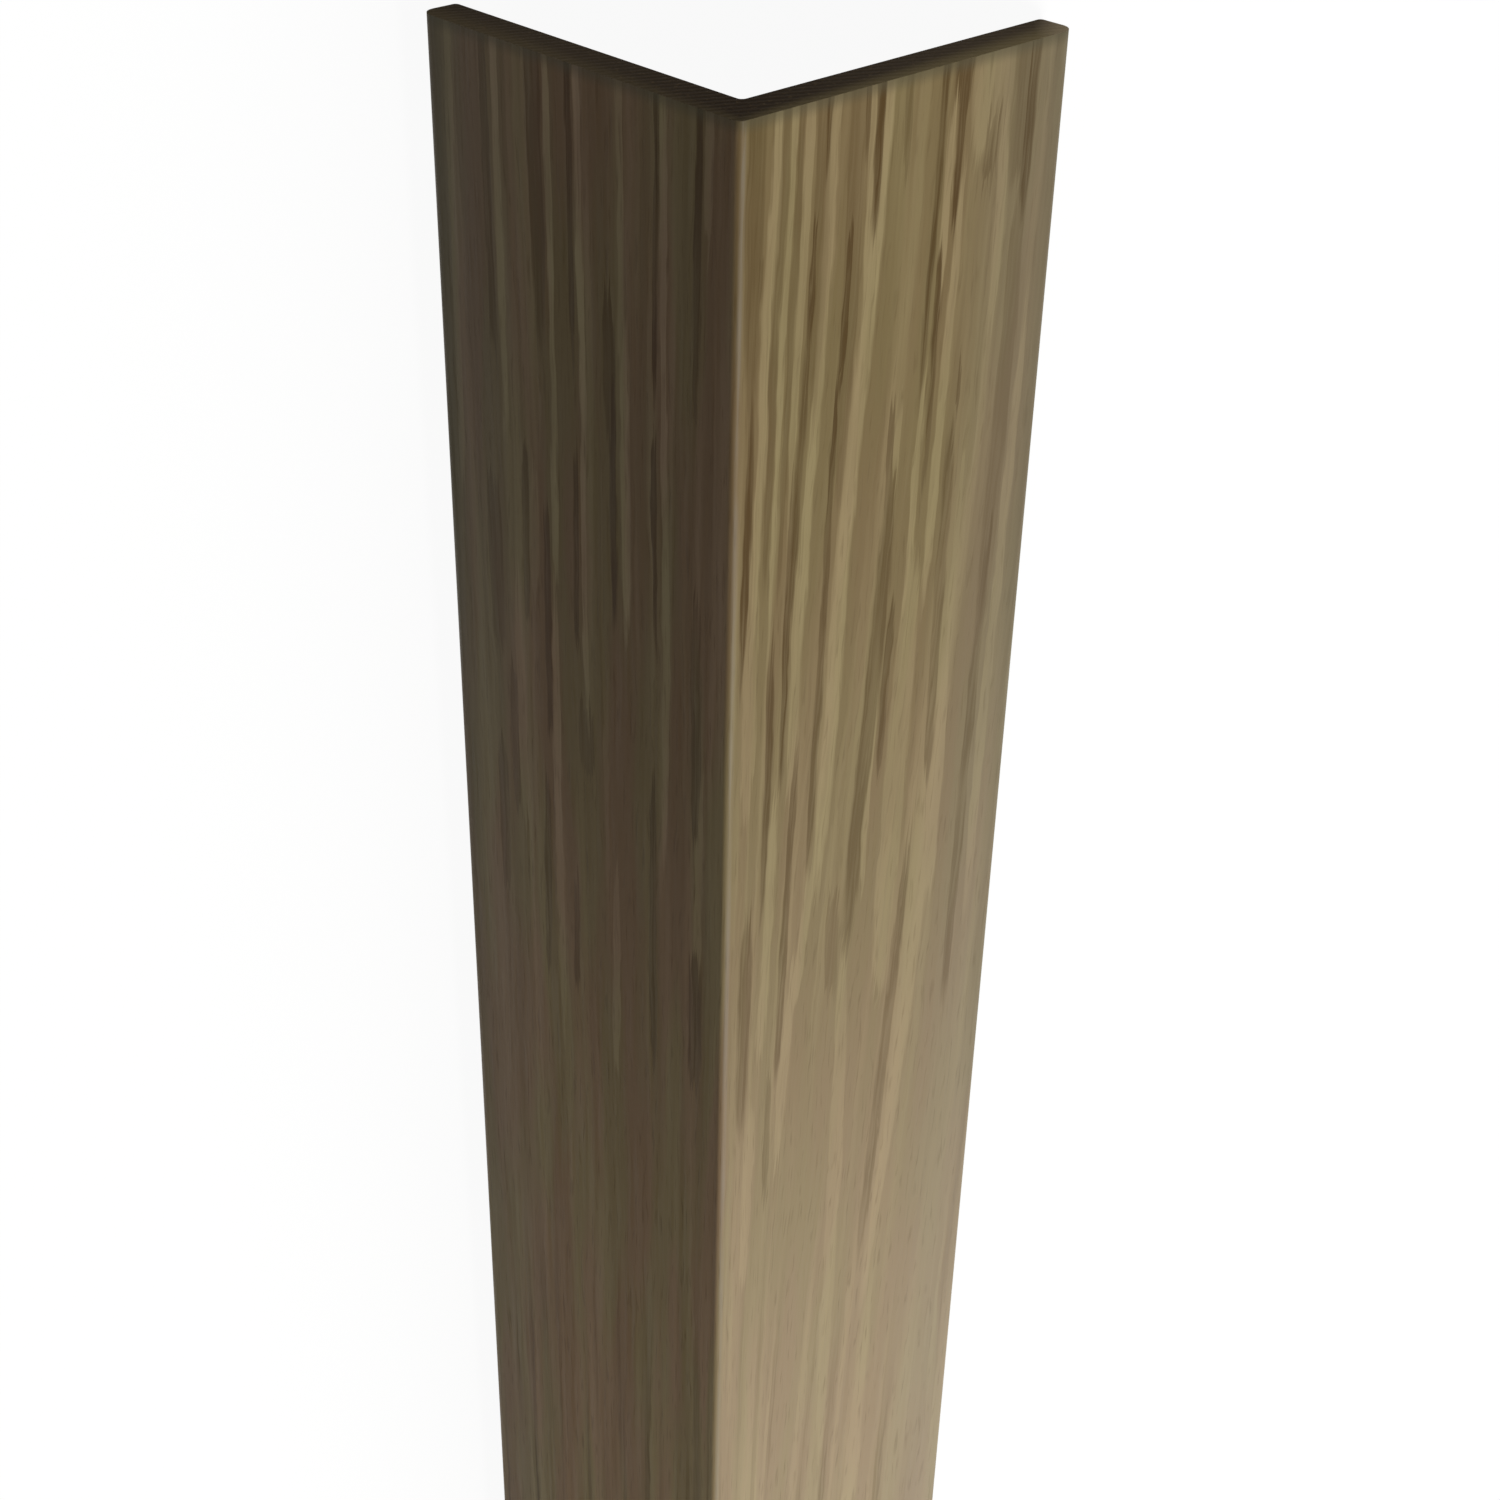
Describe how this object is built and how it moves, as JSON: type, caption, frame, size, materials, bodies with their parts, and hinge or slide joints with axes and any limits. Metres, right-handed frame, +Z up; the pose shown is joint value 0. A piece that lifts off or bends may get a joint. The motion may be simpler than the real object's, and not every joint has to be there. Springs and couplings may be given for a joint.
{
  "type": "corner guard moulding",
  "caption": "Square angle moulding with a printed wood-grain skin on its outer faces and a dark brown core, for covering and protecting the outer corner of a wall.",
  "frame": {"origin": "on the floor under the middle of the moulding, which lies ridge up on the two long inner edges of its legs", "axes": "+X along the length, +Y across towards one leg, +Z up through the ridge, which is the nose that shows on the wall"},
  "size_m": [1.22, 0.0554, 0.0307],
  "materials": {
    "wood_grain_composite": "satin printed wood grain, straight streaks along the length; plain dark brown composite on the back and sawn ends"
  },
  "bodies": {
    "root": {"corner_guard": "wood_grain_composite"}
  },
  "joints": []
}
